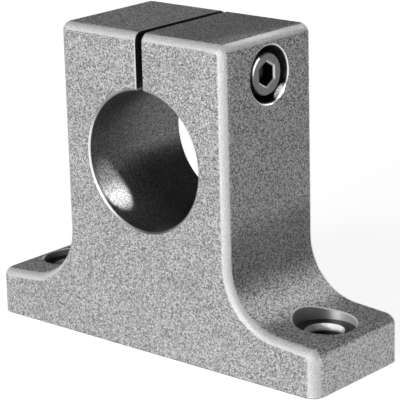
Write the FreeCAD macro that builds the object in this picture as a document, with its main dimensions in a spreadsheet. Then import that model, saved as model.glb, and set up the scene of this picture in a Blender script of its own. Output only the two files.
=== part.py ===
import FreeCAD, Part
import math
import os
import Sketcher

# Shaft support block: one cast block that stands on two feet and clamps a round
# shaft in a split bore, and the socket head screw that draws the split closed.
# Frame: origin at the centre of the base, +X along the base towards the screw's
# head, +Y along the bore, +Z up. Lengths are in millimetres, angles in degrees.

DIMENSIONS = (
    ("bore_diameter", 31.75, "bore for the shaft"),
    ("bore_height", 44.45, "height of the bore's axis over the base"),
    ("bore_chamfer", 0.4, "chamfer at both mouths of the bore"),
    ("side_wall", 7.9, "metal beside the bore, out to the upright's side"),
    ("block_depth", 30.5, "depth of the block along the bore"),
    ("slit_width", 1.9, "width of the saw cut over the bore"),
    ("foot_length", 23.5, "reach of a foot beyond the upright's side"),
    ("foot_end_height", 10.7, "height of a foot at its outer end"),
    ("foot_slope", 4.0, "fall of a foot's top towards its outer end"),
    ("foot_corner_radius", 3.0, "radius of a foot's upright corners"),
    ("root_fillet", 13.4, "radius where the upright runs into a foot"),
    ("edge_radius", 2.2, "rounding of the cast edges"),
    ("bolt_edge", 9.175, "distance from a bolt hole's axis to the foot's end"),
    ("bolt_hole_diameter", 8.7, "hole for a foot bolt"),
    ("spot_face_diameter", 14.0, "spot face round a foot bolt hole"),
    ("spot_face_depth", 2.0, "depth of the spot face at the hole's middle"),
    ("rim_chamfer", 0.25, "edge break round a spot face"),
    ("cutter_reach", 12.0, "height that the spot facing cutter clears"),
    ("screw_diameter", 6.35, "outer diameter of the clamp screw's thread"),
    ("tip_chamfer", 0.8, "chamfer at the screw's tip"),
    ("head_diameter", 9.5, "diameter of the clamp screw's head"),
    ("head_height", 6.35, "height of the clamp screw's head"),
    ("head_chamfer", 0.5, "chamfer round the head's face"),
    ("socket_flats", 4.76, "width of the hexagon socket across its flats"),
    ("socket_depth", 3.2, "depth of the socket's flats"),
    ("socket_chamfer", 0.25, "chamfer round the socket's mouth"),
    ("head_recess", 0.6, "depth of the head's face below the block's side"),
    ("head_clearance", 1.6, "gap round the head in its counterbore"),
    ("mouth_chamfer", 0.3, "chamfer at the counterbore's mouth"),
    ("shank_clearance", 0.15, "gap round the screw in the jaw under its head"),
    ("thread_clearance", 0.08, "gap round the screw in the tapped jaw"),
    ("screw_wall", 0.6, "metal between the bore and the screw's hole"),
    ("counterbore_cover", 2.55, "metal over the counterbore, up to the top face"),
    ("tap_overrun", 3.0, "depth of the tapped hole beyond the screw's tip"),
    ("drill_point", 118.0, "angle of a drill's point"),
    ("blind_wall", 3.85, "metal between the drill's point and the far side"),
    ("cut_overrun", 4.0, "length by which a cut runs past a face"),
)

# Sizes that follow from the driving dimensions, as expressions on the sheet.
HALF_UPRIGHT = "(Dims.bore_diameter / 2 + Dims.side_wall)"
HALF_BASE = f"({HALF_UPRIGHT} + Dims.foot_length)"
BOLT_X = f"({HALF_BASE} - Dims.bolt_edge)"
SPOT_FLOOR = (
    "(Dims.foot_end_height - Dims.spot_face_depth"
    " + Dims.bolt_edge * tan(Dims.foot_slope * 1deg))"
)
SCREW_RADIUS = "(Dims.screw_diameter / 2)"
FREE_RADIUS = f"({SCREW_RADIUS} + Dims.shank_clearance)"
TAPPED_RADIUS = f"({SCREW_RADIUS} + Dims.thread_clearance)"
COUNTERBORE_RADIUS = "(Dims.head_diameter / 2 + Dims.head_clearance)"
SCREW_HEIGHT = f"(Dims.bore_height + Dims.bore_diameter / 2 + Dims.screw_wall + {FREE_RADIUS})"
BLOCK_HEIGHT = f"({SCREW_HEIGHT} + {COUNTERBORE_RADIUS} + Dims.counterbore_cover)"
SEAT_X = f"({HALF_UPRIGHT} - Dims.head_height - Dims.head_recess)"
POINT_DEPTH = f"({TAPPED_RADIUS} / tan(Dims.drill_point * 0.5deg))"
TAP_END_X = f"({POINT_DEPTH} + Dims.blind_wall - {HALF_UPRIGHT})"
SCREW_LENGTH = f"({SEAT_X} - {TAP_END_X} - Dims.tap_overrun)"
SOCKET_FLOOR = "(Dims.head_height - Dims.socket_depth)"

# Points of a line or an arc in a sketch, and a sketch's own axes.
START, END, CENTRE = 1, 2, 3
H_AXIS, V_AXIS = -1, -2

TOLERANCE = 1e-6

doc = FreeCAD.newDocument("ShaftSupportBlock")


def make_sheet():
    """The spreadsheet of driving dimensions, one alias a row."""
    sheet = doc.addObject("Spreadsheet::Sheet", "Dims")
    for row, (alias, value, meaning) in enumerate(DIMENSIONS, start=1):
        sheet.set(f"A{row}", meaning)
        sheet.set(f"B{row}", str(value))
        sheet.setAlias(f"B{row}", alias)
    doc.recompute()
    return sheet


def size(expression):
    """The present value of an expression on the sheet."""
    return float(dims.evalExpression(expression))


def origin_feature(body, role):
    """The plane or axis of the body's own origin that has this role."""
    return next(item for item in body.Origin.OriginFeatures if item.Role == role)


def add_sketch(body, name, plane, height=None):
    """A sketch on one of the body's origin planes, lifted to a height along its normal."""
    sketch = body.newObject("Sketcher::SketchObject", name)
    sketch.AttachmentSupport = [(origin_feature(body, plane), "")]
    sketch.MapMode = "FlatFace"
    if height is not None:
        sketch.setExpression("AttachmentOffset.Base.z", height)
    return sketch


def add_line(sketch, start, end):
    """A straight line from one point of the sketch to another."""
    segment = Part.LineSegment(FreeCAD.Vector(*start, 0), FreeCAD.Vector(*end, 0))
    return sketch.addGeometry(segment, False)


def add_circle(sketch, centre, radius):
    """A circle in the sketch."""
    circle = Part.Circle(FreeCAD.Vector(*centre, 0), FreeCAD.Vector(0, 0, 1), radius)
    return sketch.addGeometry(circle, False)


def add_arc(sketch, centre, radius, first, last):
    """An anticlockwise arc between two angles given in degrees."""
    circle = Part.Circle(FreeCAD.Vector(*centre, 0), FreeCAD.Vector(0, 0, 1), radius)
    arc = Part.ArcOfCircle(circle, math.radians(first), math.radians(last))
    return sketch.addGeometry(arc, False)


def add_outline(sketch, points):
    """A closed chain of lines through the points, each joined to the next."""
    lines = [add_line(sketch, a, b) for a, b in zip(points, points[1:] + points[:1])]
    for line, follower in zip(lines, lines[1:] + lines[:1]):
        constrain(sketch, "Coincident", line, END, follower, START)
    return lines


def constrain(sketch, kind, *parts):
    """A constraint without a size."""
    sketch.addConstraint(Sketcher.Constraint(kind, *parts))


def drive(sketch, name, kind, *parts, to):
    """A named constraint whose size follows an expression on the sheet."""
    index = sketch.addConstraint(Sketcher.Constraint(kind, *parts, size(to)))
    sketch.renameConstraint(index, name)
    sketch.setExpression(f"Constraints.{name}", to)


def drive_angle(sketch, name, line, to):
    """A named angle of a line, in degrees from the sketch's first axis."""
    index = sketch.addConstraint(Sketcher.Constraint("Angle", line, math.radians(size(to))))
    sketch.renameConstraint(index, name)
    sketch.setExpression(f"Constraints.{name}", f"({to}) * 1deg")


def add_feature(body, kind, name, sketch=None, **sizes):
    """A feature of the body, with its properties bound to expressions."""
    feature = body.newObject(f"PartDesign::{kind}", name)
    if sketch is not None:
        feature.Profile = sketch
        sketch.Visibility = False
    for prop, expression in sizes.items():
        feature.setExpression(prop, expression)
    return feature


def cut_through(body, name, sketch):
    """A pocket right through the body, both ways from its sketch."""
    pocket = add_feature(body, "Pocket", name, sketch)
    pocket.Type = "ThroughAll"
    pocket.SideType = "Symmetric"
    doc.recompute()
    return pocket


def revolve_about(body, kind, name, sketch, axis):
    """A full revolution or groove of a sketch about one of its lines or axes."""
    feature = add_feature(body, kind, name, sketch)
    feature.ReferenceAxis = (sketch, [axis])
    feature.Angle = 360.0
    doc.recompute()
    return feature


def face_normal(face, point):
    """The outward normal of a face at a point on it."""
    return face.normalAt(*face.Surface.parameter(point))


def is_sharp(shape, edge):
    """True where the two faces at an edge don't run smoothly into each other."""
    middle = edge.valueAt((edge.FirstParameter + edge.LastParameter) / 2)
    normals = [face_normal(face, middle) for face in shape.ancestorsOfType(edge, Part.Face)]
    return len(normals) == 2 and normals[0].getAngle(normals[1]) > math.radians(1)


def edges_where(feature, test):
    """The names of the feature's edges that pass a test."""
    shape = feature.Shape
    return [f"Edge{i}" for i, edge in enumerate(shape.Edges, start=1) if test(shape, edge)]


def dress_edges(body, kind, name, test, **sizes):
    """A fillet or chamfer on those edges of the body's last feature that pass a test."""
    base = body.Tip
    feature = add_feature(body, kind, name, **sizes)
    feature.Base = (base, edges_where(base, test))
    doc.recompute()
    return feature


def draw_block_outline(sketch):
    """The block seen along its bore: base, two feet, filleted roots and the upright."""
    half_base = size(HALF_BASE)
    half_upright = size(HALF_UPRIGHT)
    end_height = size("Dims.foot_end_height")
    height = size(BLOCK_HEIGHT)
    radius = size("Dims.root_fillet")
    slope = size("Dims.foot_slope")
    fall, level = math.sin(math.radians(slope)), math.cos(math.radians(slope))

    centre_x = half_upright + radius
    centre_z = end_height + (half_base - centre_x) * fall / level + radius / level
    toe_x, toe_z = centre_x - radius * fall, centre_z - radius * level

    base = add_line(sketch, (-half_base, 0), (half_base, 0))
    right_end = add_line(sketch, (half_base, 0), (half_base, end_height))
    right_foot = add_line(sketch, (half_base, end_height), (toe_x, toe_z))
    right_root = add_arc(sketch, (centre_x, centre_z), radius, 180, 270 - slope)
    right_side = add_line(sketch, (half_upright, centre_z), (half_upright, height))
    top = add_line(sketch, (half_upright, height), (-half_upright, height))
    left_side = add_line(sketch, (-half_upright, height), (-half_upright, centre_z))
    left_root = add_arc(sketch, (-centre_x, centre_z), radius, 270 + slope, 360)
    left_foot = add_line(sketch, (-toe_x, toe_z), (-half_base, end_height))
    left_end = add_line(sketch, (-half_base, end_height), (-half_base, 0))

    constrain(sketch, "Coincident", base, END, right_end, START)
    constrain(sketch, "Coincident", right_end, END, right_foot, START)
    constrain(sketch, "Tangent", right_foot, END, right_root, END)
    constrain(sketch, "Tangent", right_root, START, right_side, START)
    constrain(sketch, "Coincident", right_side, END, top, START)
    constrain(sketch, "Coincident", top, END, left_side, START)
    constrain(sketch, "Tangent", left_side, END, left_root, END)
    constrain(sketch, "Tangent", left_root, START, left_foot, START)
    constrain(sketch, "Coincident", left_foot, END, left_end, START)
    constrain(sketch, "Coincident", left_end, END, base, START)

    for upright_line in (right_end, right_side, left_side, left_end):
        constrain(sketch, "Vertical", upright_line)
    constrain(sketch, "Horizontal", top)
    constrain(sketch, "PointOnObject", base, START, H_AXIS)
    constrain(sketch, "Symmetric", base, START, base, END, V_AXIS)
    constrain(sketch, "Symmetric", right_root, CENTRE, left_root, CENTRE, V_AXIS)
    constrain(sketch, "Equal", right_root, left_root)
    constrain(sketch, "Equal", right_end, left_end)

    drive(sketch, "base_length", "DistanceX", base, START, base, END, to=f"2 * {HALF_BASE}")
    drive(sketch, "upright_width", "DistanceX", top, END, top, START, to=f"2 * {HALF_UPRIGHT}")
    drive(sketch, "block_height", "DistanceY", base, END, right_side, END, to=BLOCK_HEIGHT)
    drive(sketch, "foot_end_height", "DistanceY", base, END, right_end, END, to="Dims.foot_end_height")
    drive(sketch, "root_fillet", "Radius", right_root, to="Dims.root_fillet")
    drive_angle(sketch, "foot_angle", right_foot, to="180 - Dims.foot_slope")


def draw_bore(sketch):
    """The bore's circle over the middle of the base."""
    circle = add_circle(sketch, (0, size("Dims.bore_height")), size("Dims.bore_diameter") / 2)
    constrain(sketch, "PointOnObject", circle, CENTRE, V_AXIS)
    drive(sketch, "height", "DistanceY", H_AXIS, START, circle, CENTRE, to="Dims.bore_height")
    drive(sketch, "diameter", "Diameter", circle, to="Dims.bore_diameter")


def draw_bolt_circles(sketch):
    """The circles of the foot bolt holes, one each side of the middle."""
    bolt_x = size(BOLT_X)
    radius = size("Dims.bolt_hole_diameter") / 2
    left, right = [add_circle(sketch, (x, 0), radius) for x in (-bolt_x, bolt_x)]
    constrain(sketch, "PointOnObject", right, CENTRE, H_AXIS)
    constrain(sketch, "Symmetric", left, CENTRE, right, CENTRE, V_AXIS)
    constrain(sketch, "Equal", left, right)
    drive(sketch, "spacing", "DistanceX", left, CENTRE, right, CENTRE, to=f"2 * {BOLT_X}")
    drive(sketch, "diameter", "Diameter", right, to="Dims.bolt_hole_diameter")


def draw_slit(sketch):
    """The saw cut's section: a narrow slot from the bore's axis up past the top face."""
    half_width = size("Dims.slit_width") / 2
    low = size("Dims.bore_height")
    high = size(f"{BLOCK_HEIGHT} + Dims.cut_overrun")
    corners = [(-half_width, low), (half_width, low), (half_width, high), (-half_width, high)]
    floor, right, roof, left = add_outline(sketch, corners)
    constrain(sketch, "Vertical", right)
    constrain(sketch, "Vertical", left)
    constrain(sketch, "Horizontal", roof)
    constrain(sketch, "Symmetric", floor, START, floor, END, V_AXIS)
    drive(sketch, "width", "DistanceX", floor, START, floor, END, to="Dims.slit_width")
    drive(sketch, "low", "DistanceY", H_AXIS, START, floor, START, to="Dims.bore_height")
    drive(sketch, "high", "DistanceY", H_AXIS, START, roof, START,
          to=f"{BLOCK_HEIGHT} + Dims.cut_overrun")


def draw_stepped_hole(sketch):
    """Half the screw hole's section: counterbore, free hole, tapped hole and drill point."""
    axis_z = size(SCREW_HEIGHT)
    side_x = size(HALF_UPRIGHT)
    mouth_x = side_x + size("Dims.cut_overrun")
    seat_x = size(SEAT_X)
    end_x = size(TAP_END_X)
    chamfer = size("Dims.mouth_chamfer")
    corners = [
        (mouth_x, axis_z),
        (mouth_x, axis_z + size(COUNTERBORE_RADIUS) + chamfer),
        (side_x, axis_z + size(COUNTERBORE_RADIUS) + chamfer),
        (side_x - chamfer, axis_z + size(COUNTERBORE_RADIUS)),
        (seat_x, axis_z + size(COUNTERBORE_RADIUS)),
        (seat_x, axis_z + size(FREE_RADIUS)),
        (0, axis_z + size(FREE_RADIUS)),
        (0, axis_z + size(TAPPED_RADIUS)),
        (end_x, axis_z + size(TAPPED_RADIUS)),
        (end_x - size(POINT_DEPTH), axis_z),
    ]
    mouth, lip, bevel, wide, seat, free, step, tapped, cone, axis = add_outline(sketch, corners)
    for line in (lip, wide, free, tapped, axis):
        constrain(sketch, "Horizontal", line)
    for line in (mouth, seat, step):
        constrain(sketch, "Vertical", line)
    constrain(sketch, "PointOnObject", step, START, V_AXIS)
    drive(sketch, "axis_height", "DistanceY", H_AXIS, START, mouth, START, to=SCREW_HEIGHT)
    drive(sketch, "side", "DistanceX", H_AXIS, START, lip, END, to=HALF_UPRIGHT)
    drive(sketch, "overrun", "DistanceX", lip, END, lip, START, to="Dims.cut_overrun")
    drive(sketch, "chamfer_depth", "DistanceX", bevel, END, bevel, START, to="Dims.mouth_chamfer")
    drive(sketch, "chamfer_reach", "DistanceY", bevel, END, bevel, START, to="Dims.mouth_chamfer")
    drive(sketch, "seat", "DistanceX", H_AXIS, START, seat, START, to=SEAT_X)
    drive(sketch, "hole_depth", "DistanceX", tapped, END, seat, START, to=f"{SEAT_X} - {TAP_END_X}")
    drive(sketch, "point_depth", "DistanceX", axis, START, tapped, END, to=POINT_DEPTH)
    drive(sketch, "counterbore", "DistanceY", mouth, START, wide, START, to=COUNTERBORE_RADIUS)
    drive(sketch, "free_hole", "DistanceY", mouth, START, free, START, to=FREE_RADIUS)
    drive(sketch, "tapped_hole", "DistanceY", mouth, START, tapped, START, to=TAPPED_RADIUS)


def make_support_block():
    """The cast block: body, rounded edges, bore, slit, foot holes and the screw's hole."""
    body = doc.addObject("PartDesign::Body", "support_block")
    body.Label = "support_block"

    outline = add_sketch(body, "block_outline", "XZ_Plane")
    draw_block_outline(outline)
    casting = add_feature(body, "Pad", "casting", outline, Length="Dims.block_depth")
    casting.SideType = "Symmetric"
    doc.recompute()

    half_base = size(HALF_BASE)

    def foot_corner(shape, edge):
        box = edge.BoundBox
        return abs(box.Center.x) > half_base - TOLERANCE and box.YLength < TOLERANCE

    dress_edges(body, "Fillet", "foot_corners", foot_corner, Radius="Dims.foot_corner_radius")

    def cast_edge(shape, edge):
        return edge.BoundBox.ZMin > TOLERANCE and is_sharp(shape, edge)

    dress_edges(body, "Fillet", "cast_edges", cast_edge, Radius="Dims.edge_radius")

    bore_section = add_sketch(body, "bore_section", "XZ_Plane")
    draw_bore(bore_section)
    cut_through(body, "shaft_bore", bore_section)

    bore_girth = math.pi * size("Dims.bore_diameter")

    def bore_mouth(shape, edge):
        return abs(edge.Length - bore_girth) < TOLERANCE

    dress_edges(body, "Chamfer", "bore_mouths", bore_mouth, Size="Dims.bore_chamfer")

    slit_section = add_sketch(body, "slit_section", "XZ_Plane")
    draw_slit(slit_section)
    cut_through(body, "clamping_slit", slit_section)

    bolt_centres = add_sketch(body, "bolt_centres", "XY_Plane", f"{SPOT_FLOOR} + Dims.cutter_reach")
    draw_bolt_circles(bolt_centres)
    doc.recompute()
    bolt_holes = add_feature(body, "Hole", "bolt_holes", bolt_centres)
    bolt_holes.DepthType = "ThroughAll"
    bolt_holes.HoleCutType = "Counterbore"
    bolt_holes.HoleCutCustomValues = True
    bolt_holes.setExpression("Diameter", "Dims.bolt_hole_diameter")
    bolt_holes.setExpression("HoleCutDiameter", "Dims.spot_face_diameter")
    bolt_holes.setExpression("HoleCutDepth", "Dims.cutter_reach")
    doc.recompute()

    bolt_x = size(BOLT_X)
    spot_radius = size("Dims.spot_face_diameter") / 2
    spot_floor = size(SPOT_FLOOR)

    def spot_rim(shape, edge):
        middle = edge.valueAt((edge.FirstParameter + edge.LastParameter) / 2)
        from_bolt = math.hypot(abs(middle.x) - bolt_x, middle.y)
        return abs(from_bolt - spot_radius) < TOLERANCE and edge.BoundBox.ZMin > spot_floor + TOLERANCE

    dress_edges(body, "Chamfer", "spot_rims", spot_rim, Size="Dims.rim_chamfer")

    hole_section = add_sketch(body, "screw_hole_section", "XZ_Plane")
    draw_stepped_hole(hole_section)
    revolve_about(body, "Groove", "clamp_screw_hole", hole_section, "Edge10")
    return body


def draw_screw_section(sketch):
    """Half the screw's section about its axis, with the underside of the head at zero."""
    shank = size(SCREW_RADIUS)
    head = size("Dims.head_diameter") / 2
    height = size("Dims.head_height")
    length = size(SCREW_LENGTH)
    rim = size("Dims.head_chamfer")
    tip = size("Dims.tip_chamfer")
    corners = [
        (0, -length),
        (shank - tip, -length),
        (shank, tip - length),
        (shank, 0),
        (head, 0),
        (head, height - rim),
        (head - rim, height),
        (0, height),
    ]
    end, bevel, flank, seat, side, rim_bevel, face, axis = add_outline(sketch, corners)
    for line in (end, seat, face):
        constrain(sketch, "Horizontal", line)
    for line in (flank, side, axis):
        constrain(sketch, "Vertical", line)
    constrain(sketch, "PointOnObject", end, START, V_AXIS)
    constrain(sketch, "PointOnObject", seat, START, H_AXIS)
    drive(sketch, "length", "DistanceY", end, START, seat, START, to=SCREW_LENGTH)
    drive(sketch, "head_height", "DistanceY", seat, START, face, START, to="Dims.head_height")
    drive(sketch, "shank_radius", "DistanceX", end, START, flank, START, to=SCREW_RADIUS)
    drive(sketch, "head_radius", "DistanceX", end, START, side, START, to="Dims.head_diameter / 2")
    drive(sketch, "rim_rise", "DistanceY", rim_bevel, START, rim_bevel, END, to="Dims.head_chamfer")
    drive(sketch, "rim_reach", "DistanceX", rim_bevel, END, rim_bevel, START, to="Dims.head_chamfer")
    drive(sketch, "tip_rise", "DistanceY", bevel, START, bevel, END, to="Dims.tip_chamfer")
    drive(sketch, "tip_reach", "DistanceX", bevel, START, bevel, END, to="Dims.tip_chamfer")


def draw_hexagon(sketch):
    """The socket's hexagon, with one corner on the sketch's first axis."""
    corner_radius = size("Dims.socket_flats") / math.sqrt(3)
    angles = [math.radians(60 * corner) for corner in range(6)]
    corners = [(corner_radius * math.cos(a), corner_radius * math.sin(a)) for a in angles]
    sides = add_outline(sketch, corners)
    rim = add_circle(sketch, (0, 0), corner_radius)
    sketch.toggleConstruction(rim)
    constrain(sketch, "Coincident", rim, CENTRE, H_AXIS, START)
    for side in sides:
        constrain(sketch, "PointOnObject", side, START, rim)
    for side in sides[1:]:
        constrain(sketch, "Equal", sides[0], side)
    constrain(sketch, "PointOnObject", sides[0], START, H_AXIS)
    drive(sketch, "corner_radius", "Radius", rim, to="Dims.socket_flats / sqrt(3)")


def draw_socket_point(sketch):
    """Half the drill point under the socket's flats, as a triangle against the axis."""
    floor = size(SOCKET_FLOOR)
    radius = size("Dims.socket_flats") / 2
    depth = radius / math.tan(math.radians(size("Dims.drill_point") / 2))
    across, cone, axis = add_outline(sketch, [(0, floor), (radius, floor), (0, floor - depth)])
    constrain(sketch, "Horizontal", across)
    constrain(sketch, "Vertical", axis)
    constrain(sketch, "PointOnObject", across, START, V_AXIS)
    drive(sketch, "floor", "DistanceY", H_AXIS, START, across, START, to=SOCKET_FLOOR)
    drive(sketch, "radius", "DistanceX", across, START, across, END, to="Dims.socket_flats / 2")
    drive(sketch, "depth", "DistanceY", cone, END, cone, START,
          to="Dims.socket_flats / 2 / tan(Dims.drill_point * 0.5deg)")


def make_clamp_screw():
    """The socket head cap screw, turned about its own axis and laid in the block's hole."""
    body = doc.addObject("PartDesign::Body", "clamp_screw")
    body.Label = "clamp_screw"
    along_x = FreeCAD.Rotation(FreeCAD.Vector(0, 1, 0), 90)
    body.Placement = FreeCAD.Placement(FreeCAD.Vector(), along_x)
    body.setExpression("Placement.Base.x", SEAT_X)
    body.setExpression("Placement.Base.z", SCREW_HEIGHT)

    section = add_sketch(body, "screw_section", "XZ_Plane")
    draw_screw_section(section)
    revolve_about(body, "Revolution", "turned_screw", section, "V_Axis")

    hexagon = add_sketch(body, "socket_hexagon", "XY_Plane", "Dims.head_height")
    draw_hexagon(hexagon)
    add_feature(body, "Pocket", "socket", hexagon, Length="Dims.socket_depth")
    doc.recompute()

    head_height = size("Dims.head_height")

    def socket_mouth(shape, edge):
        level = edge.BoundBox.ZMin > head_height - TOLERANCE
        return level and edge.BoundBox.DiagonalLength < size("Dims.socket_flats")

    dress_edges(body, "Chamfer", "socket_mouth", socket_mouth, Size="Dims.socket_chamfer")

    point = add_sketch(body, "socket_point_section", "XZ_Plane")
    draw_socket_point(point)
    revolve_about(body, "Groove", "socket_point", point, "V_Axis")
    return body


def check_document():
    """Stop if anything failed to build, or if a cut took nothing away."""
    for item in doc.Objects:
        if "Invalid" in item.State or "Error" in item.State:
            raise RuntimeError(f"{item.Label} failed to build: {item.State}")
        if item.isDerivedFrom("Sketcher::SketchObject") and not item.FullyConstrained:
            raise RuntimeError(f"{item.Label} isn't fully constrained")
        base = getattr(item, "BaseFeature", None)
        if item.TypeId in ("PartDesign::Pocket", "PartDesign::Hole", "PartDesign::Groove"):
            if item.Shape.Volume >= base.Shape.Volume - TOLERANCE:
                raise RuntimeError(f"{item.Label} cuts nothing")


def write_parts(bodies):
    """One STEP file for each piece, named after it."""
    os.makedirs("parts", exist_ok=True)
    for body in bodies:
        shape = body.Shape
        if shape.isNull() or not shape.isValid() or len(shape.Solids) != 1:
            raise RuntimeError(f"{body.Label} isn't one valid solid")
        shape.exportStep(os.path.join("parts", f"{body.Label}.step"))
        print(f"{body.Label}: {shape.Volume / 1000:.2f} cm3, {len(shape.Faces)} faces")


dims = make_sheet()
pieces = [make_support_block(), make_clamp_screw()]
doc.recompute()
check_document()
write_parts(pieces)
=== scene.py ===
import math
from types import SimpleNamespace

import bmesh
import bpy
from mathutils import Matrix, Vector


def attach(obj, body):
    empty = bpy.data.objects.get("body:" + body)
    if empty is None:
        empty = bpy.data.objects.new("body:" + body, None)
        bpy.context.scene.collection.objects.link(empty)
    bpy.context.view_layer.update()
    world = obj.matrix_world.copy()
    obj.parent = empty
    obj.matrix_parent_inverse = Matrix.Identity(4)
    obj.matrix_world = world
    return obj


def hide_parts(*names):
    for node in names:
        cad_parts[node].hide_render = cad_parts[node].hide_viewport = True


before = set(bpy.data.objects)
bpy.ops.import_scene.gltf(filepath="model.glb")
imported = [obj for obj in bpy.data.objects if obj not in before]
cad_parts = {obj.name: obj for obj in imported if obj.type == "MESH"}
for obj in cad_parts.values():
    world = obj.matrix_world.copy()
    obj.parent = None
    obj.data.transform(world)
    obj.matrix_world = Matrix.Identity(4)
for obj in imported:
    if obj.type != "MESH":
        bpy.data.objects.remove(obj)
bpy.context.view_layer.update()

MM = 0.001

# Sizes of the block, in millimetres, for the masks of its material.
HALF_DEPTH = 15.25
HALF_BASE = 47.275
HALF_UPRIGHT = 23.775
BLOCK_HEIGHT = 73.15
EDGE_RADIUS = 2.2
BORE_HEIGHT = 44.45
BORE_RADIUS = 15.875
BORE_CHAMFER = 0.4
HALF_SLIT = 0.95
BOLT_X = 38.1
BOLT_RADIUS = 4.35
SPOT_RADIUS = 7.0
RIM_CHAMFER = 0.25
SCREW_HEIGHT = 64.25
COUNTERBORE_RADIUS = 6.35
MOUTH_CHAMFER = 0.3

# Limits of the block's masks, in millimetres: how far a mask reaches past its cut, where a lip
# begins and is whole past its wall, the width of the slit's lip, the top of the roots' painted
# shade and highlight, and the foot of the painted light on the upper wall of a bolt hole, below
# which the hole gets painted shade.
MASK_REACH = 0.06
LIP_START = 0.02
LIP_WHOLE = 0.10
SLIT_LIP = 0.38
ROOT_TOP = 32.0
BOLT_HOLE_LIGHT_FOOT = 7.8

# Sizes of the clamp screw, in millimetres, and its drill point's angle in degrees.
SEAT_X = 16.825
HEAD_RADIUS = 4.75
HEAD_HEIGHT = 6.35
HEAD_TOP = SEAT_X + HEAD_HEIGHT
HEAD_CHAMFER = 0.3
UNDERSIDE_BEVEL = 0.3
KNURL_COUNT = 48
KNURL_DEPTH = 0.14
KNURL_START = 0.25
KNURL_TAPER = 0.2
SOCKET_FLATS = 4.76
SOCKET_DEPTH = 3.2
SOCKET_CHAMFER = 0.4
DRILL_RADIUS = 2.3562
DRILL_TIP_RADIUS = 0.2
DRILL_POINT = 118.0
SHANK_RADIUS = 3.175
SHANK_LENGTH = 31.794
SHANK_IN_HEAD = 0.2
TIP_CHAMFER = 0.8
CREST_RADIUS = 3.165
THREAD_PITCH = 0.907
THREAD_DEPTH = 0.5
FLANK_POWER = 0.9
THREAD_LENGTH = 25.0

# How finely the screw is divided, and the angle in degrees past which its edges are sharp.
STEPS_A_KNURL = 6
SHANK_STEPS = 64
ROWS_A_TURN = 9
SHARP_ANGLE = 40.0

# The range that most of a noise lies in.
NOISE_RANGE = (0.3, 0.7)

# Finishes from 0 to 1. A pair is the range that the grain runs through.
CAST_GREYS = (0.14, 0.84)
LIGHTEST_CAST = 0.92
# The rubbed edges' greys are partly wear and partly painted highlight.
WORN_AND_HIGHLIGHT_GREYS = (0.7912, 0.9936)
CUT_GREYS = (0.1462, 0.1938)
SEAT_GREYS = (0.756, 0.924)
# The lips' greys are painted highlight on the edge breaks, dull on the bore's lip away from its
# left arc. The bolt holes' grey below is painted light on their upper walls.
LIP_HIGHLIGHT_GREY = 0.9
DULL_LIP_GREY = 0.36
BOLT_HOLE_LIGHT_GREY = 0.96
CAST_METAL = 0.19
FOOT_END_METAL = 0.46
CUT_METAL = 0.92
SEAT_METAL = 0.60
LIP_METAL = 0.05
CAST_ROUGHNESS = (0.48, 0.60)
WORN_ROUGHNESS = 0.46
CUT_ROUGHNESS = (0.42, 0.52)
CAST_ANISOTROPY = 0.3
CUT_ANISOTROPY = 0.70
SEAT_ANISOTROPY = 0.60
SCREW_GREYS = (0.12, 0.205)
# The screw's edge grey is painted highlight on its chamfers.
SCREW_EDGE_HIGHLIGHT_GREY = 0.95
SCREW_METAL = 0.9
SCREW_EDGE_METAL = 0.4
SCREW_ROUGHNESS = (0.36, 0.50)

# Shading of the greys: a pair multiplies them from one end of a mask to the other, and a single
# number is the share by which a mask changes them, or what is left on the left foot's seats.
# Besides the grain of the first two, these are painted light and painted shade.
PATCHES = (0.96, 1.04)
SPECKLED_CUT = (0.45, 1.58)
LOW_BORE_PAINTED_SHADE = (1.05, 0.42)
HIGH_BORE_PAINTED_SHADE = (0.66, 1.04)
TOP_PAINTED_LIGHT_AND_SHADE = (1.22, 0.78)
INNER_SEAT_PAINTED_SHADE = (0.30, 1.0)
LEFT_SEAT_PAINTED_SHADE = 0.40
ROOT_PAINTED_SHADE = 0.44
ROOT_PAINTED_HIGHLIGHT = 0.54
FOOT_END_PAINTED_LIGHT = 0.70
SLIT_PAINTED_SHADE = 0.72
SCREW_HOLE_PAINTED_SHADE = 0.65
SEAT_FLOOR_PAINTED_SHADE = 0.90
SOCKET_PAINTED_SHADE = 0.75

# Depths of the bumps, in millimetres, and the strength of the tool marks' bumps.
CAST_RELIEF = 0.26
CUT_RELIEF = 0.012
SCREW_RELIEF = 0.010
MARK_STRENGTH = 0.6

# Floor, wall and surround, from 0 to 1, and where the floor's glow changes, in millimetres.
FLOOR_GREY = 0.75
NEAR_GLOW = 0.86
FAR_GLOW = 1.0
SURROUND_GLOW = 0.04
GLOW_SPAN = (150.0, 500.0)

# Rings of the floor and the low wall round it, as radius and height in metres.
FLOOR_RINGS = ((0.02, 0), (0.3, 0), (1.0, 0), (3.0, 0), (3.3, 0.08), (3.5, 0.7))
FLOOR_STEPS = 64

# Direction from the block towards the lamps that stand high on its right.
HIGH_RIGHT = (0.583, -0.272, 0.766)

# The camera: place in metres, turn in degrees, lens and sensor in millimetres.
CAMERA_PLACE = (0.28670, -0.32409, 0.16204)
CAMERA_TURN = (73.2686, 1.4614, 40.7454)
CAMERA_LENS = 180.168
CAMERA_SENSOR = 36.0


# Node graphs


class Field:
    """A value in a node graph that can be used in plain arithmetic."""

    def __init__(self, graph, socket):
        self.graph = graph
        self.socket = socket

    def __add__(self, other):
        return self.graph.math("ADD", self, other)

    def __sub__(self, other):
        return self.graph.math("SUBTRACT", self, other)

    def __rsub__(self, other):
        return self.graph.math("SUBTRACT", other, self)

    def __mul__(self, other):
        return self.graph.math("MULTIPLY", self, other)

    def __abs__(self):
        return self.graph.math("ABSOLUTE", self)

    __radd__ = __add__
    __rmul__ = __mul__


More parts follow.
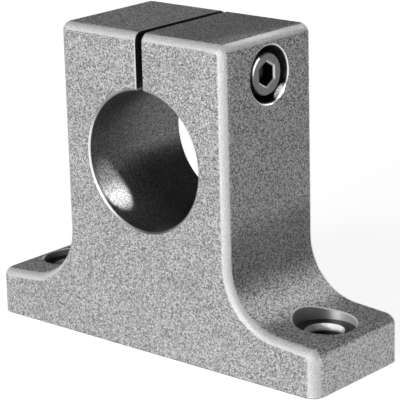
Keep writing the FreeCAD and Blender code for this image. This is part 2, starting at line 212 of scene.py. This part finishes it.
class Graph:
    """A material's node graph, with the place and direction of the surface as fields.

    The place is in millimetres. The direction is the surface's normal.
    """

    def __init__(self, name):
        self.material = bpy.data.materials.new(name)
        self.material.use_nodes = True
        self.nodes = self.material.node_tree.nodes
        self.links = self.material.node_tree.links
        self.shader = self.nodes["Principled BSDF"]
        coordinates = self.nodes.new("ShaderNodeTexCoord")
        scaled = self.nodes.new("ShaderNodeVectorMath")
        scaled.operation = "SCALE"
        self.links.new(coordinates.outputs["Object"], scaled.inputs[0])
        scaled.inputs["Scale"].default_value = 1 / MM
        self.place = scaled.outputs[0]
        self.x, self.y, self.z = self.split(self.place)
        self.nx, self.ny, self.nz = self.split(coordinates.outputs["Normal"])

    def plug(self, socket, value):
        """Link a field to a socket, or set the socket to a plain value."""
        if isinstance(value, Field):
            self.links.new(value.socket, socket)
        else:
            socket.default_value = value

    def shade(self, **values):
        """Feed the shader's inputs, named here with low lines for the spaces."""
        for name, value in values.items():
            self.plug(self.shader.inputs[name.replace("_", " ")], value)

    def split(self, vector):
        """The three components of a vector socket."""
        node = self.nodes.new("ShaderNodeSeparateXYZ")
        self.links.new(vector, node.inputs[0])
        return [Field(self, output) for output in node.outputs]

    def combine(self, x, y, z):
        """A vector of three fields or numbers."""
        node = self.nodes.new("ShaderNodeCombineXYZ")
        for socket, value in zip(node.inputs, (x, y, z)):
            self.plug(socket, value)
        return Field(self, node.outputs[0])

    def grey(self, value):
        """A colour with this value in all three channels."""
        node = self.nodes.new("ShaderNodeCombineColor")
        for socket in node.inputs:
            self.plug(socket, value)
        return Field(self, node.outputs[0])

    def math(self, operation, *values):
        """A math node with this operation."""
        node = self.nodes.new("ShaderNodeMath")
        node.operation = operation
        for socket, value in zip(node.inputs, values):
            self.plug(socket, value)
        return Field(self, node.outputs[0])

    def length(self, first, second):
        """The length of a vector with these two components."""
        return self.math("SQRT", first * first + second * second)

    def most(self, *masks):
        """The largest of several masks."""
        result = masks[0]
        for mask in masks[1:]:
            result = self.math("MAXIMUM", result, mask)
        return result

    def smooth(self, value, low, high, to_low=0.0, to_high=1.0):
        """A smooth step of the value between two limits."""
        node = self.nodes.new("ShaderNodeMapRange")
        node.interpolation_type = "SMOOTHSTEP"
        for socket, item in zip(node.inputs, (value, low, high, to_low, to_high)):
            self.plug(socket, item)
        return Field(self, node.outputs[0])

    def below(self, value, limit, soft=0.05):
        """One where the value is under the limit, nothing where it's over, soft between."""
        return self.smooth(value, limit + soft, limit - soft)

    def grade(self, noise, low, high):
        """A noise's usual range stretched between two values."""
        return self.smooth(noise, *NOISE_RANGE, low, high)

    def blend(self, factor, first, second):
        """The first value where the factor is nothing, the second where it is one."""
        node = self.nodes.new("ShaderNodeMix")
        node.data_type = "FLOAT"
        self.plug(node.inputs[0], factor)
        self.plug(node.inputs[2], first)
        self.plug(node.inputs[3], second)
        return Field(self, node.outputs[0])

    def noise(self, scale, detail=2.0, roughness=0.5, along=None):
        """Noise with this many features a millimetre, in space or along one field."""
        node = self.nodes.new("ShaderNodeTexNoise")
        if along is None:
            self.links.new(self.place, node.inputs["Vector"])
        else:
            node.noise_dimensions = "1D"
            self.plug(node.inputs["W"], along)
        node.inputs["Scale"].default_value = scale
        node.inputs["Detail"].default_value = detail
        node.inputs["Roughness"].default_value = roughness
        return Field(self, node.outputs["Fac"])

    def grains(self, scale):
        """Cells with this many a millimetre, each with a random value of its own."""
        node = self.nodes.new("ShaderNodeTexVoronoi")
        self.links.new(self.place, node.inputs["Vector"])
        node.inputs["Scale"].default_value = scale
        separate = self.nodes.new("ShaderNodeSeparateColor")
        self.links.new(node.outputs["Color"], separate.inputs[0])
        return Field(self, separate.outputs[0])

    def bump(self, height, depth, strength=1.0, under=None):
        """A bump whose height field spans this depth in millimetres."""
        node = self.nodes.new("ShaderNodeBump")
        node.inputs["Strength"].default_value = strength
        node.inputs["Distance"].default_value = depth * MM
        self.plug(node.inputs["Height"], height)
        if under is not None:
            self.links.new(under.socket, node.inputs["Normal"])
        return Field(self, node.outputs[0])


# The block's material


def find_cuts(g):
    """Masks of the machined surfaces, and the distances from the axes of their holes."""
    on = SimpleNamespace()
    on.from_bore = g.length(g.x, g.z - BORE_HEIGHT)
    on.from_screw = g.length(g.y, g.z - SCREW_HEIGHT)
    on.from_bolt = g.length(abs(g.x) - BOLT_X, g.y)
    on.bore = g.below(on.from_bore, BORE_RADIUS + BORE_CHAMFER + MASK_REACH)
    on.above_bore = g.smooth(g.z, BORE_HEIGHT, BORE_HEIGHT + 1)
    on.slit = g.below(abs(g.x), HALF_SLIT + MASK_REACH) * on.above_bore
    on.screw_hole = g.below(on.from_screw, COUNTERBORE_RADIUS + MOUTH_CHAMFER + 0.04)
    on.screw_hole = on.screw_hole * g.smooth(g.x, 0.3 - HALF_UPRIGHT, 0.6 - HALF_UPRIGHT)
    on.seat = g.below(on.from_bolt, SPOT_RADIUS + RIM_CHAMFER + MASK_REACH)
    on.seat = on.seat * g.smooth(g.z, 0.3, 0.6)
    on.base = g.below(g.z, 0.1)
    on.cut = g.most(on.bore, on.slit, on.screw_hole, on.seat, on.base)
    return on


def past_wall(g, distance, radius, whole=LIP_WHOLE):
    """A mask of what lies further from a hole's axis than its wall does."""
    return g.smooth(distance, radius + LIP_START, radius + whole)


def find_lips(g, on):
    """Masks of the edge breaks that get painted highlight, and of the bolt holes' upper walls
    that get painted light.
    """
    on.bore_lip = on.bore * past_wall(g, on.from_bore, BORE_RADIUS, LIP_WHOLE + 0.02)
    on.seat_lip = on.seat * past_wall(g, on.from_bolt, SPOT_RADIUS)
    screw_hole_lip = on.screw_hole * past_wall(g, on.from_screw, COUNTERBORE_RADIUS)
    mouth = HALF_UPRIGHT - MOUTH_CHAMFER
    screw_hole_lip = screw_hole_lip * g.smooth(g.x, mouth - 0.1, mouth + 0.1)
    # Painted highlight on the slit's left lip only.
    slit_edge = -HALF_SLIT - SLIT_LIP
    slit_lip = g.smooth(g.x, slit_edge - 0.04, slit_edge + 0.04)
    slit_lip = slit_lip * g.below(g.x, -HALF_SLIT + LIP_START) * on.above_bore
    slit_lip = slit_lip * g.smooth(g.most(abs(g.ny), g.nz), 0.5, 0.8)
    on.lip = g.most(on.bore_lip, screw_hole_lip, on.seat_lip, slit_lip)
    # Painted light on the upper wall of each bolt hole.
    on.bolt_lip = on.seat * g.below(on.from_bolt, BOLT_RADIUS + MASK_REACH)
    on.bolt_lip = on.bolt_lip * g.smooth(g.z, BOLT_HOLE_LIGHT_FOOT - 0.4, BOLT_HOLE_LIGHT_FOOT + 0.4)


def find_wear(g, on):
    """Masks of the cast skin's edges, rubbed and with painted highlight, and of the feet's
    ends, which get painted light.
    """
    front_start = HALF_DEPTH - EDGE_RADIUS
    crown_start = BLOCK_HEIGHT - EDGE_RADIUS
    front = g.smooth(abs(g.y), front_start - 0.2, front_start + 0.3)
    front_edge = front * g.smooth(abs(g.ny), 0.22, 0.42) * g.smooth(abs(g.ny), 0.995, 0.95)
    crown = g.smooth(g.z, crown_start - 0.2, crown_start + 0.3)
    crown_edge = crown * g.smooth(abs(g.nx), 0.22, 0.42) * g.smooth(abs(g.nz), 0.12, 0.35)
    # Edges that face left keep little of the painted highlight and stay dark, as painted shade.
    faces_left = g.smooth(g.nx, -0.06, -0.16) * g.smooth(g.nz, 0.45, 0.25)
    unworn = faces_left * g.smooth(g.ny, -0.1, -0.3)
    on.worn = g.most(front_edge, crown_edge) * (1.0 - on.cut) * (1.0 - 0.9 * unworn)
    on.ground = g.smooth(abs(g.x), HALF_BASE - 0.4, HALF_BASE - 0.1)


def make_grain(g, on):
    """Grain of the cast skin, and tool marks that run the way each cut was made."""
    grain = SimpleNamespace()
    grain.coarse = g.noise(2.2, detail=3.0, roughness=0.65)
    grain.fine = g.noise(5.0, roughness=0.6)
    grain.cells = g.grains(4.2)
    grain.speckle = 0.38 * grain.coarse + 0.27 * grain.fine + 0.35 * grain.cells
    along = (
        on.bore * g.y + on.screw_hole * (g.x + on.from_screw) + on.seat * (g.z + on.from_bolt)
        + on.slit * (g.z + g.y) + on.base * (g.x * 0.6 + g.y)
    )
    grain.marks = g.noise(7.0, roughness=0.7, along=along)
    return grain


def cast_tone(g, on, grain):
    """The cast skin's grey, with painted shade and a band of painted highlight in the roots,
    painted light at the feet's ends, and painted light and shade across the top.
    """
    reach = g.smooth(abs(g.ny), 0.3, 0.9, 0.13, 0.21)
    tone = g.smooth(grain.speckle, 0.5 - reach, 0.5 + reach, *CAST_GREYS)
    tone = tone * g.grade(g.noise(0.09), *PATCHES)
    root = g.below(g.z, ROOT_TOP, soft=4.0) * g.below(abs(g.x), HALF_BASE - 0.5)
    root = root * g.below(abs(g.ny), 0.45, soft=0.1)
    # Painted shade on the steep part of the roots, and a band of painted highlight on their
    # sloping part.
    root_shade = root * g.below(g.nz, 0.40, soft=0.14)
    highlit = root * g.smooth(g.nz, 0.50, 0.70) * g.below(g.nz, 0.88, soft=0.10)
    tone = tone * (1.0 - ROOT_PAINTED_SHADE * root_shade + ROOT_PAINTED_HIGHLIGHT * highlit)
    # Painted light on the feet's ends, which come out lighter than the sides that face the same
    # way.
    tone = tone * (1.0 + FOOT_END_PAINTED_LIGHT * on.ground)
    # Painted light and shade across the top: lighter on the left half, darker on the right.
    on_top = g.smooth(g.z, BLOCK_HEIGHT - 1.2, BLOCK_HEIGHT - 0.6)
    top_light_and_shade = g.smooth(g.x, -8.0, 8.0, *TOP_PAINTED_LIGHT_AND_SHADE)
    return g.math("MINIMUM", tone * g.blend(on_top, 1.0, top_light_and_shade), LIGHTEST_CAST)


def cut_tone(g, on, grain):
    """The grey of the bore, the slit, the clamp screw's hole and the base, with painted shade
    in the bore, the slit and the screw's hole.
    """
    tone = g.grade(grain.marks, *CUT_GREYS)
    tone = tone * g.smooth(grain.speckle, 0.32, 0.68, *SPECKLED_CUT)
    # Painted shade in the bore: the lower wall darkens deep inside, the upper wall near the
    # front.
    deep = g.smooth(g.y, -12.0, 4.0)
    low_wall = g.blend(deep, *LOW_BORE_PAINTED_SHADE)
    high_wall = g.blend(deep, *HIGH_BORE_PAINTED_SHADE)
    bore_shade = g.blend(g.smooth(g.z, 39.0, 43.0), low_wall, high_wall)
    tone = tone * g.blend(on.bore, 1.0, bore_shade)
    # Painted shade in the slit and in the clamp screw's hole.
    slit_shade = SLIT_PAINTED_SHADE * on.slit * (1.0 - on.bore)
    return tone * (1.0 - g.most(slit_shade, SCREW_HOLE_PAINTED_SHADE * on.screw_hole))


def seat_tone(g, on, grain):
    """The grey of the spot faces and bolt holes: bright walls with painted light on the bolt
    holes' upper walls, and painted shade on the floors, in the depths, on the inner sides and
    on the left foot.
    """
    tone = g.grade(grain.marks, *SEAT_GREYS)
    # Painted shade on the seats' floors, in the bolt holes' depths, on the inner side towards
    # the upright, and on the left foot's seats.
    tone = tone * (1.0 - SEAT_FLOOR_PAINTED_SHADE * g.smooth(g.nz, 0.85, 0.98))
    tone = tone * (1.0 - SEAT_FLOOR_PAINTED_SHADE * g.below(g.z, BOLT_HOLE_LIGHT_FOOT, soft=0.4))
    tone = tone * g.smooth(abs(g.x), BOLT_X - 5.0, BOLT_X + 0.5, *INNER_SEAT_PAINTED_SHADE)
    tone = tone * g.smooth(g.x, -1.0, 1.0, LEFT_SEAT_PAINTED_SHADE, 1.0)
    return g.blend(on.bolt_lip, tone, BOLT_HOLE_LIGHT_GREY)


def block_tone(g, on, grain):
    """The block's grey: skin, cuts and lips with painted highlight.

    The bore's lip has painted highlight on its left arc and is dull on the rest.
    """
    # The rubbed edges' grey: partly wear, partly painted highlight.
    highlit = g.smooth(grain.speckle, 0.26, 0.66, *WORN_AND_HIGHLIGHT_GREYS)
    skin = g.blend(on.worn, cast_tone(g, on, grain), highlit)
    cut = g.blend(on.seat, cut_tone(g, on, grain), seat_tone(g, on, grain))
    left_arc = g.smooth(g.x * -0.866 - (g.z - BORE_HEIGHT) * 0.5, 6.0, 12.5)
    bore_lip_grey = g.blend(left_arc, DULL_LIP_GREY, LIP_HIGHLIGHT_GREY)
    lip = g.blend(on.bore_lip, LIP_HIGHLIGHT_GREY, bore_lip_grey)
    return g.blend(on.lip, g.blend(on.cut, skin, cut), lip)


def make_block_material():
    """Blasted cast surface with polished edges that carry painted highlight, and machined bore,
    holes and seats, with painted light and shade on the skin, bore, slit, holes and seats.
    """
    g = Graph("cast_iron_body")
    on = find_cuts(g)
    find_lips(g, on)
    find_wear(g, on)
    grain = make_grain(g, on)

    cut_metal = g.blend(on.seat, CUT_METAL, SEAT_METAL)
    cut_metal = g.blend(g.most(on.bolt_lip, on.seat_lip), cut_metal, LIP_METAL)
    cast_metal = g.blend(on.ground, CAST_METAL, FOOT_END_METAL)
    cast_roughness = g.grade(grain.fine, *CAST_ROUGHNESS)
    cast_roughness = g.blend(on.worn, cast_roughness, WORN_ROUGHNESS)
    cut_roughness = g.grade(grain.marks, *CUT_ROUGHNESS)
    across_marks = g.combine(
        g.blend(on.seat, on.screw_hole, 0.1),
        1.0 - g.most(on.screw_hole, on.seat),
        g.blend(on.seat, 0.1, 1.0),
    )
    relief = (1.0 - on.cut) * (0.5 * grain.coarse + 0.2 * grain.fine + 0.3 * grain.cells)
    cast_bump = g.bump(relief, CAST_RELIEF)
    cut_anisotropy = g.blend(on.seat, CUT_ANISOTROPY, SEAT_ANISOTROPY)
    g.shade(
        Base_Color=g.grey(block_tone(g, on, grain)),
        Metallic=g.blend(on.cut, cast_metal, cut_metal),
        Roughness=g.blend(on.cut, cast_roughness, cut_roughness),
        Anisotropic=g.blend(on.cut, CAST_ANISOTROPY, cut_anisotropy),
        Tangent=across_marks,
        Normal=g.bump(on.cut * grain.marks, CUT_RELIEF, MARK_STRENGTH, under=cast_bump),
    )
    return g.material


# The clamp screw


def make_screw_material():
    """Plain turned steel with fine marks, painted shade in the socket and painted highlight on
    its edges.
    """
    g = Graph("screw_steel")
    from_axis = g.length(g.y, g.z - SCREW_HEIGHT)
    marks = g.noise(6.0, roughness=0.6, along=from_axis + g.x)
    cloud = g.noise(1.2, detail=3.0)
    socket_radius = SOCKET_FLATS / math.sqrt(3)
    in_socket = g.below(from_axis, socket_radius + 0.05)
    in_socket = in_socket * g.below(g.x, HEAD_TOP - SOCKET_CHAMFER - 0.02, soft=0.04)
    in_socket = in_socket * g.smooth(g.x, SEAT_X, SEAT_X + 1)
    tone = g.grade(0.5 * marks + 0.5 * cloud, *SCREW_GREYS)
    # Painted shade in the hexagon socket.
    tone = tone * (1.0 - SOCKET_PAINTED_SHADE * in_socket)

    # Painted highlight on the head's chamfer and the socket's mouth.
    flat_radius = HEAD_RADIUS - HEAD_CHAMFER
    chamfer_foot = HEAD_TOP - HEAD_CHAMFER
    head_edge = g.smooth(from_axis, flat_radius, flat_radius + 0.06)
    head_edge = head_edge * g.smooth(g.x, chamfer_foot - 0.03, chamfer_foot + 0.03)
    flats_top = HEAD_TOP - SOCKET_CHAMFER
    socket_edge = g.below(from_axis, socket_radius + SOCKET_CHAMFER + 0.1, soft=0.02)
    socket_edge = socket_edge * g.smooth(g.x, flats_top, flats_top + 0.04)
    socket_edge = socket_edge * g.below(g.x, HEAD_TOP - 0.03, soft=0.01)
    edge = g.most(head_edge, socket_edge)
    g.shade(
        Base_Color=g.grey(g.blend(edge, tone, SCREW_EDGE_HIGHLIGHT_GREY)),
        Metallic=g.blend(edge, SCREW_METAL, SCREW_EDGE_METAL),
        Roughness=g.grade(cloud, *SCREW_ROUGHNESS),
        Normal=g.bump(marks, SCREW_RELIEF, MARK_STRENGTH),
    )
    return g.material


def add_object(name, mesh, material):
    """An object in the scene with this mesh and material."""
    bmesh.ops.recalc_face_normals(mesh, faces=mesh.faces)
    data = bpy.data.meshes.new(name)
    mesh.to_mesh(data)
    mesh.free()
    data.materials.append(material)
    made = bpy.data.objects.new(name, data)
    bpy.context.scene.collection.objects.link(made)
    return made


def screw_ring(mesh, x, radii):
    """A ring of points round the screw's axis at this place, one radius each."""
    points = []
    for step, radius in enumerate(radii):
        angle = 2 * math.pi * step / len(radii)
        place = Vector((x, radius * math.sin(angle), SCREW_HEIGHT + radius * math.cos(angle)))
        points.append(mesh.verts.new(place * MM))
    return points


def skin_rings(mesh, rings, smooth=True):
    """Bands of quads from each ring to the next one, which has as many points."""
    for first, second in zip(rings, rings[1:]):
        for here in range(len(first)):
            after = (here + 1) % len(first)
            face = mesh.faces.new((first[here], first[after], second[after], second[here]))
            face.smooth = smooth


def hexagon_radii(count, flats):
    """Radii of a hexagon with a corner straight up, at evenly spaced angles."""
    radii = []
    for step in range(count):
        off_flat = 2 * math.pi * step / count % (math.pi / 3) - math.pi / 6
        radii.append(flats / 2 / math.cos(off_flat))
    return radii


def knurl_radii(count):
    """Radii of the head's side, with the knurl's shallow grooves."""
    radii = []
    for step in range(count):
        in_groove = 0.5 - 0.5 * math.cos(2 * math.pi * step / STEPS_A_KNURL)
        radii.append(HEAD_RADIUS - KNURL_DEPTH * in_groove)
    return radii


def make_head(mesh):
    """The screw's head: knurled side, chamfered rim and hexagon socket with its drill point."""
    count = KNURL_COUNT * STEPS_A_KNURL

    def plain(radius):
        return [radius] * count

    inside_shank = plain(SHANK_RADIUS - 0.1)
    under = plain(HEAD_RADIUS - UNDERSIDE_BEVEL)
    neck = plain(HEAD_RADIUS - KNURL_DEPTH)
    knurled = knurl_radii(count)
    rim = plain(HEAD_RADIUS - HEAD_CHAMFER)
    mouth = hexagon_radii(count, SOCKET_FLATS + 2 * SOCKET_CHAMFER)
    flats = hexagon_radii(count, SOCKET_FLATS)
    drilled = plain(DRILL_RADIUS)

    knurl_foot = SEAT_X + KNURL_START
    knurl_top = HEAD_TOP - HEAD_CHAMFER - KNURL_TAPER
    flats_top = HEAD_TOP - SOCKET_CHAMFER
    floor = HEAD_TOP - SOCKET_DEPTH
    point = floor - DRILL_RADIUS / math.tan(math.radians(DRILL_POINT / 2))
    bands = (
        ((SEAT_X, inside_shank), (SEAT_X, under)),
        ((SEAT_X, under), (knurl_foot, neck)),
        (
            (knurl_foot, neck),
            (knurl_foot + KNURL_TAPER, knurled),
            (knurl_top, knurled),
            (knurl_top + KNURL_TAPER, neck),
        ),
        ((HEAD_TOP - HEAD_CHAMFER, neck), (HEAD_TOP, rim)),
        ((HEAD_TOP, rim), (HEAD_TOP, mouth)),
        ((HEAD_TOP, mouth), (flats_top, flats)),
        ((flats_top, flats), (floor, flats)),
        ((floor, flats), (floor, drilled)),
        ((floor, drilled), (point, plain(DRILL_TIP_RADIUS))),
    )
    made = [[screw_ring(mesh, x, radii) for x, radii in band] for band in bands]
    for band, rings in zip(bands, made):
        skin_rings(mesh, rings, smooth=all(radii is not flats for _, radii in band))
    mesh.faces.new(made[0][0])
    mesh.faces.new(made[-1][-1])


def make_shank(mesh):
    """The screw's shank: plain under the head, then a thread that runs out at the tip."""
    row_count = int(SHANK_LENGTH / THREAD_PITCH * ROWS_A_TURN)
    rings = []
    for row in range(row_count + 1):
        along = SHANK_LENGTH * row / row_count
        run_in = min(1.0, max(0.0, (along - SHANK_LENGTH + THREAD_LENGTH) / THREAD_PITCH))
        at_tip = SHANK_RADIUS - max(0.0, TIP_CHAMFER - (SHANK_LENGTH - along))
        radii = []
        for step in range(SHANK_STEPS):
            phase = (along / THREAD_PITCH - step / SHANK_STEPS) % 1.0
            groove = THREAD_DEPTH * (1 - abs(2 * phase - 1)) ** FLANK_POWER
            radii.append(min(CREST_RADIUS - groove * run_in, at_tip))
        if row == 0:
            rings.append(screw_ring(mesh, SEAT_X + SHANK_IN_HEAD, radii))
        rings.append(screw_ring(mesh, SEAT_X - along, radii))
    skin_rings(mesh, rings)
    mesh.faces.new(rings[0])
    mesh.faces.new(rings[-1])


def make_screw(material):
    """The socket head cap screw, in place of its plain solid."""
    mesh = bmesh.new()
    make_head(mesh)
    make_shank(mesh)
    bmesh.ops.remove_doubles(mesh, verts=mesh.verts, dist=1e-8)
    for edge in mesh.edges:
        edge.smooth = edge.calc_face_angle(0.0) < math.radians(SHARP_ANGLE)
    screw = add_object("clamp_screw_detail", mesh, material)
    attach(screw, "screw")
    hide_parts("clamp_screw")


# Floor, lights and camera


def make_floor_material():
    """Pale matt floor that glows towards the camera, except under the block."""
    g = Graph("floor")
    g.nodes.remove(g.shader)
    matt = g.nodes.new("ShaderNodeBsdfDiffuse")
    matt.inputs["Color"].default_value = (FLOOR_GREY, FLOOR_GREY, FLOOR_GREY, 1)
    path = g.nodes.new("ShaderNodeLightPath")
    kinds = ("Is Camera Ray", "Is Glossy Ray", "Is Transmission Ray")
    seen = g.most(*(Field(g, path.outputs[kind]) for kind in kinds))
    level = g.smooth(g.length(g.x, g.y), *GLOW_SPAN, NEAR_GLOW, FAR_GLOW)
    under_block = g.below(abs(g.x), HALF_BASE - 1.0, soft=1.0)
    under_block = under_block * g.below(abs(g.y), HALF_DEPTH - 1.0, soft=1.0)
    glow = g.nodes.new("ShaderNodeEmission")
    g.plug(glow.inputs["Strength"], seen * level * (1.0 - under_block))
    both = g.nodes.new("ShaderNodeAddShader")
    g.links.new(matt.outputs[0], both.inputs[0])
    g.links.new(glow.outputs[0], both.inputs[1])
    g.links.new(both.outputs[0], g.nodes["Material Output"].inputs["Surface"])
    return g.material


def make_stage():
    """A pale floor disc and a low pale wall round it, near white to the camera."""
    mesh = bmesh.new()
    angles = [2 * math.pi * step / FLOOR_STEPS for step in range(FLOOR_STEPS)]
    rings = [
        [mesh.verts.new((out * math.cos(angle), out * math.sin(angle), up)) for angle in angles]
        for out, up in FLOOR_RINGS
    ]
    mesh.faces.new(rings[0])
    skin_rings(mesh, rings)
    add_object("floor", mesh, make_floor_material())


def add_light(name, direction, distance, size, watts, target=(0, 0, 0.036)):
    """A square soft lamp in this direction from the target, turned to face it."""
    lamp = bpy.data.lights.new(name, "AREA")
    lamp.shape = "SQUARE"
    lamp.size = size
    lamp.energy = watts
    light = bpy.data.objects.new(name, lamp)
    bpy.context.scene.collection.objects.link(light)
    towards = Vector(direction).normalized()
    light.location = Vector(target) + towards * distance
    light.rotation_euler = towards.to_track_quat("Z", "Y").to_euler()
    return light


def add_beam(name, direction, distance, long_side, sizes, watts, target, spread,
             shape="ELLIPSE"):
    """A gridded lamp, whose narrow beam keeps the lamp's outline.

    Its long side lies in the given direction. The spread is in degrees.
    """
    light = add_light(name, direction, distance, sizes[0], watts, target)
    light.data.shape = shape
    light.data.size, light.data.size_y = sizes
    light.data.spread = math.radians(spread)
    towards = Vector(direction).normalized()
    across = towards.cross(Vector(long_side)).normalized()
    turned = Matrix((across.cross(towards), across, towards)).transposed()
    light.rotation_euler = turned.to_euler()


def make_lights():
    """Lamps in front, high on the right and behind, five gridded ones, and a dim surround."""
    add_light("key", (0.04, -0.965, 0.24), distance=1.2, size=0.5, watts=10.2)
    add_light("right", HIGH_RIGHT, distance=0.8, size=0.12, watts=0.10)
    add_light("rear", (-0.20, 0.97, 0.06), distance=1.2, size=0.4, watts=3.2)
    add_beam("bore", HIGH_RIGHT, distance=0.06, long_side=(0.796, 0, -0.606),
             sizes=(0.0125, 0.0068), watts=0.0011,
             target=(-0.0039, -0.01525, 0.0475), spread=1.6)
    add_beam("counterbore", HIGH_RIGHT, distance=0.04, long_side=(0, 0.66, 0.75),
             sizes=(0.0036, 0.0014), watts=0.0002,
             target=(0.0238, 0.0038, 0.0608), spread=1)
    add_beam("head", HIGH_RIGHT, distance=0.03, long_side=(0, 0.6, 0.8),
             sizes=(0.005, 0.0008), watts=0.000022,
             target=(0.0231, -0.0037, 0.0670), spread=1)
    add_beam("bolt_hole", (0.15, -0.85, 0.5), distance=0.03, long_side=(1, 0, 0),
             sizes=(0.0065, 0.0013), watts=0.000012,
             target=(0.0373, 0.0043, 0.0088), spread=1)
    add_beam("back", (0.107, 0.76, 0.643), distance=0.15, long_side=(0, 0, 1),
             sizes=(0.064, 0.012), watts=0.0009,
             target=(0.0265, 0, 0.043), spread=3, shape="RECTANGLE")
    world = bpy.data.worlds.new("surround")
    world.use_nodes = True
    background = world.node_tree.nodes["Background"]
    background.inputs["Color"].default_value = (1, 1, 1, 1)
    background.inputs["Strength"].default_value = SURROUND_GLOW
    bpy.context.scene.world = world


def make_camera():
    """A long lens in front on the right, looking a little down on the block."""
    data = bpy.data.cameras.new("camera")
    data.sensor_width = CAMERA_SENSOR
    data.lens = CAMERA_LENS
    data.clip_start = 0.01
    data.clip_end = 20.0
    camera = bpy.data.objects.new("camera", data)
    camera.location = CAMERA_PLACE
    camera.rotation_euler = [math.radians(angle) for angle in CAMERA_TURN]
    bpy.context.scene.collection.objects.link(camera)
    bpy.context.scene.camera = camera


make_camera()
make_lights()
make_stage()
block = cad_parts["support_block"]
block.material_slots[0].material = make_block_material()
screw_material = make_screw_material()
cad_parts["clamp_screw"].material_slots[0].material = screw_material
make_screw(screw_material)
bpy.context.scene.view_settings.view_transform = "Standard"
